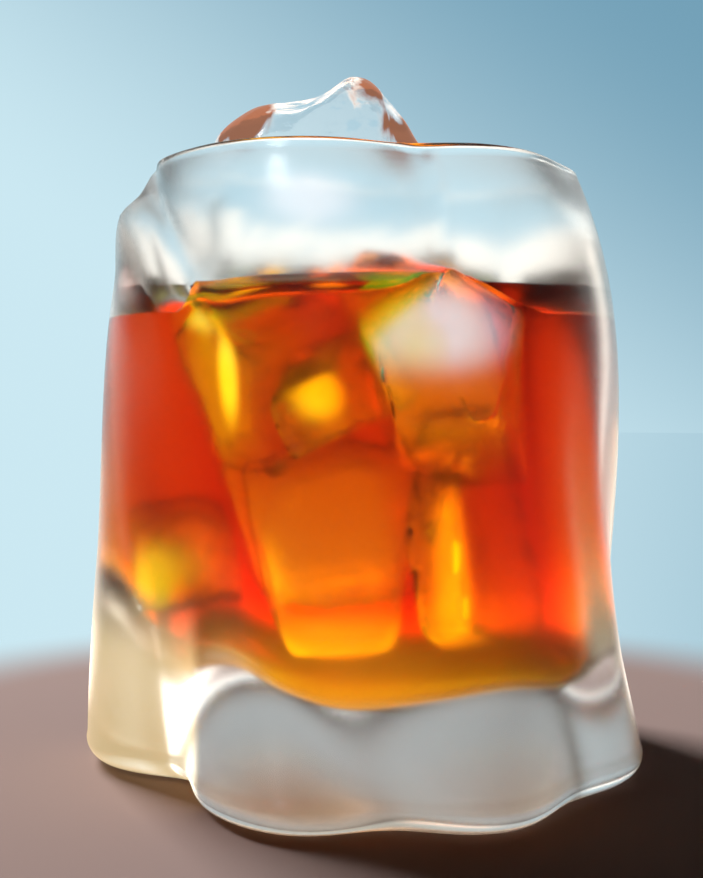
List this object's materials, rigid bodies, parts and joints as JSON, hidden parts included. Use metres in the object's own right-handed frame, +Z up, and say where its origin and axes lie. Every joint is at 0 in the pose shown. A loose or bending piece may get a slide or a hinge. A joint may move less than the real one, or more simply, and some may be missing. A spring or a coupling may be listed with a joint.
{
  "type": "glass of iced coffee",
  "caption": "Heavy frosted tumbler with a wavy twisted wall, filled with amber cold coffee and clear ice, one chunk standing above the rim.",
  "frame": {"origin": "middle of the tumbler's foot, on the surface that it stands on", "axes": "+Z up along the glass, -Y towards the viewer of the picture, +X to the viewer's right"},
  "size_m": [0.085, 0.0876, 0.1079],
  "materials": {
    "frosted_glass": "satin frosted outside, smooth inside",
    "cold_coffee": "clear amber liquid",
    "clear_ice": "clear, wet, melted edges"
  },
  "bodies": {
    "root": {"tumbler": "frosted_glass", "drink": "cold_coffee", "ice_tall": "clear_ice", "ice_right": "clear_ice", "ice_left": "clear_ice"}
  },
  "joints": []
}
